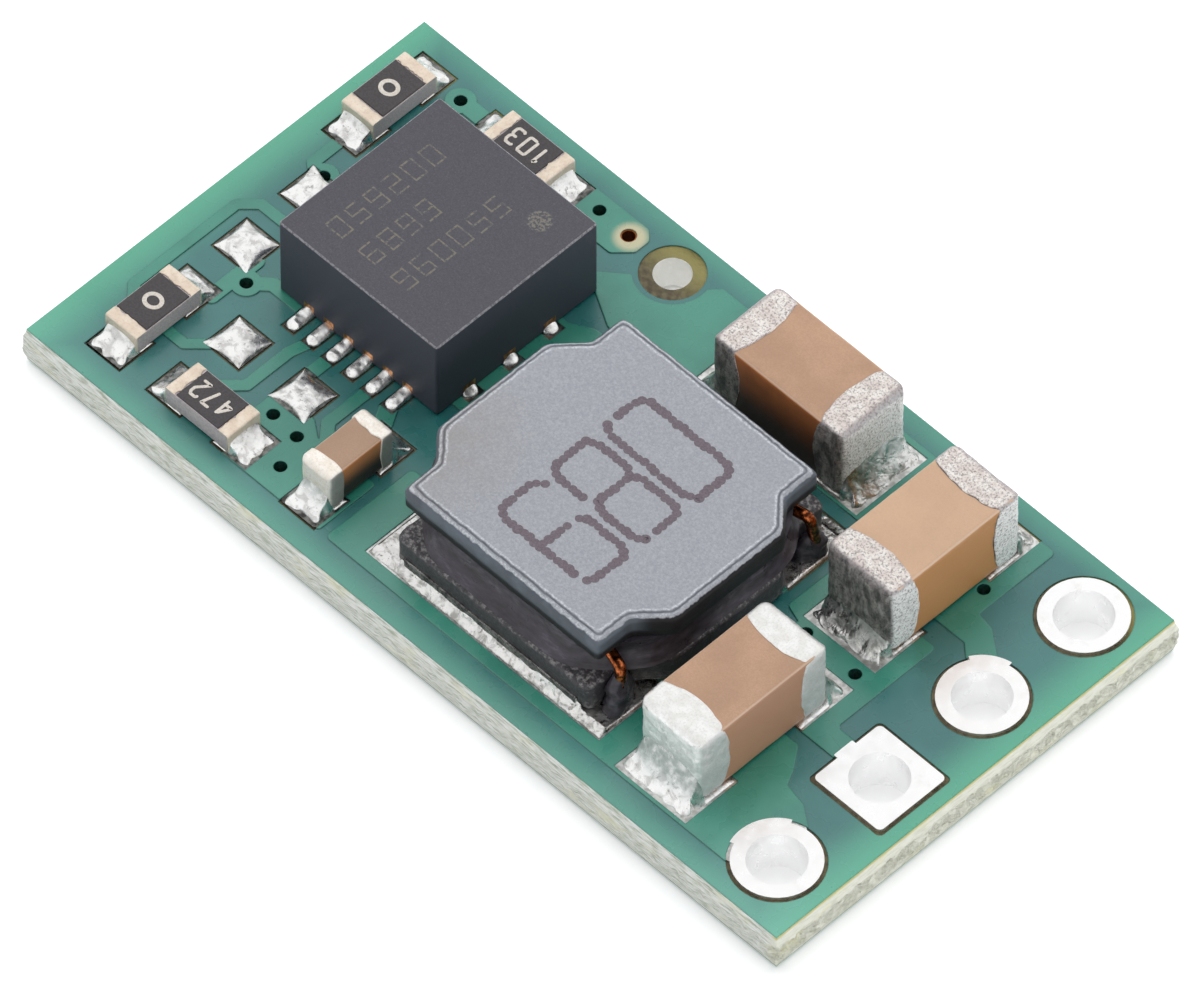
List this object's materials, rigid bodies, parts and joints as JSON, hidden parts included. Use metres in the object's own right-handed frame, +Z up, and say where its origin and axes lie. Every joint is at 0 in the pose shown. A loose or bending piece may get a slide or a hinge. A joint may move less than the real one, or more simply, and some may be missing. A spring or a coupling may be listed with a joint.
{
  "type": "buck converter module",
  "caption": "Small step-down converter module: board with a row of plated terminal holes, square regulator, drum-core inductor, chip capacitors and resistors.",
  "frame": {"origin": "centre of the board's underside", "axes": "+X along the board towards the row of terminal holes, +Y across it, +Z up from the component side"},
  "size_m": [0.019, 0.01, 0.0028],
  "materials": {
    "laminate": "glass-epoxy laminate",
    "mask": "green solder mask",
    "copper": "bare copper",
    "tin": "tinned finish",
    "solder": "solder",
    "mould": "moulded package",
    "ferrite": "ground ferrite",
    "resin": "filled black resin",
    "dielectric": "fired brown ceramic",
    "end_cap": "matt tin plating",
    "alumina": "grey-white alumina",
    "end_wrap": "cream tin plating",
    "overcoat": "dark glass overcoat"
  },
  "bodies": {
    "root": {"circuit_board": "laminate", "top_copper": "copper", "bottom_copper": "copper", "top_solder_mask": "mask", "bottom_solder_mask": "mask", "via_platings": "copper", "open_pad_solder": "solder", "regulator_body": "mould", "regulator_leads": "copper", "regulator_solder": "solder", "inductor_core": "ferrite", "inductor_winding": "copper", "inductor_resin": "resin", "inductor_electrode_a": "tin", "inductor_electrode_b": "tin", "inductor_solder": "solder", "barrel_terminal_1": "tin", "barrel_terminal_2": "tin", "barrel_terminal_3": "tin", "barrel_terminal_4": "tin", "input_capacitor_1_body": "dielectric", "input_capacitor_1_end_a": "end_cap", "input_capacitor_1_end_b": "end_cap", "input_capacitor_1_solder": "solder", "input_capacitor_2_body": "dielectric", "input_capacitor_2_end_a": "end_cap", "input_capacitor_2_end_b": "end_cap", "input_capacitor_2_solder": "solder", "output_capacitor_body": "dielectric", "output_capacitor_end_a": "end_cap", "output_capacitor_end_b": "end_cap", "output_capacitor_solder": "solder", "supply_capacitor_body": "dielectric", "supply_capacitor_end_a": "end_cap", "supply_capacitor_end_b": "end_cap", "supply_capacitor_solder": "solder", "resistor_1_substrate": "alumina", "resistor_1_overcoat": "overcoat", "resistor_1_end_a": "end_wrap", "resistor_1_end_b": "end_wrap", "resistor_1_solder": "solder", "resistor_2_substrate": "alumina", "resistor_2_overcoat": "overcoat", "resistor_2_end_a": "end_wrap", "resistor_2_end_b": "end_wrap", "resistor_2_solder": "solder", "resistor_3_substrate": "alumina", "resistor_3_overcoat": "overcoat", "resistor_3_end_a": "end_wrap", "resistor_3_end_b": "end_wrap", "resistor_3_solder": "solder", "resistor_4_substrate": "alumina", "resistor_4_overcoat": "overcoat", "resistor_4_end_a": "end_wrap", "resistor_4_end_b": "end_wrap", "resistor_4_solder": "solder"}
  },
  "joints": []
}
